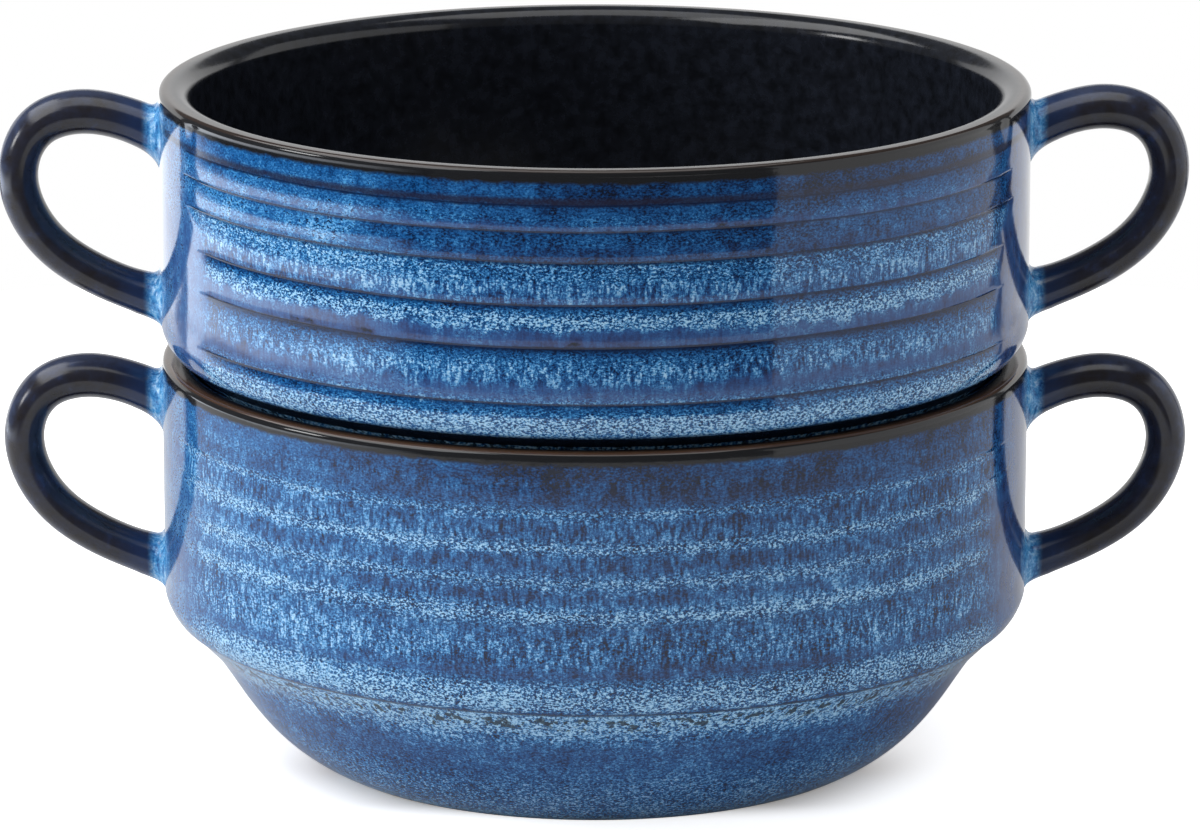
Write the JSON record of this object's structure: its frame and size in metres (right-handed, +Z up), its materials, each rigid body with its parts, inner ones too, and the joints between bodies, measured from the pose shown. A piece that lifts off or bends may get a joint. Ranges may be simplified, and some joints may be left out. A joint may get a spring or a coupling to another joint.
{
  "type": "stacking lug soup bowls",
  "caption": "Stacked stoneware soup bowls with looped lug handles: upright ringed wall over a stepped round foot that seats inside the lip below; the upper bowl lifts straight off.",
  "frame": {"origin": "centre of the lower bowl's foot, on the surface that it stands on", "axes": "+Z up along the stack's axis; the handles reach out along -X and +X; -Y is the front seen in the picture"},
  "size_m": [0.2054, 0.15, 0.1176],
  "materials": {
    "blue_glaze": "clear-coated reactive glaze: blue with pale speckled bands, near-black lip and inside",
    "dark_glaze": "glossy near-black glaze that breaks to navy, light blue at the roots"
  },
  "bodies": {
    "lower": {"lower_bowl": "blue_glaze", "lower_left_handle": "dark_glaze", "lower_right_handle": "dark_glaze"},
    "upper": {"upper_bowl": "blue_glaze", "upper_left_handle": "dark_glaze", "upper_right_handle": "dark_glaze"}
  },
  "joints": [
    {"name": "upper_bowl_lift", "type": "slide", "parent": "lower", "child": "upper", "axis": [0, 0, 1], "range_m": [0, 0.08]}
  ]
}
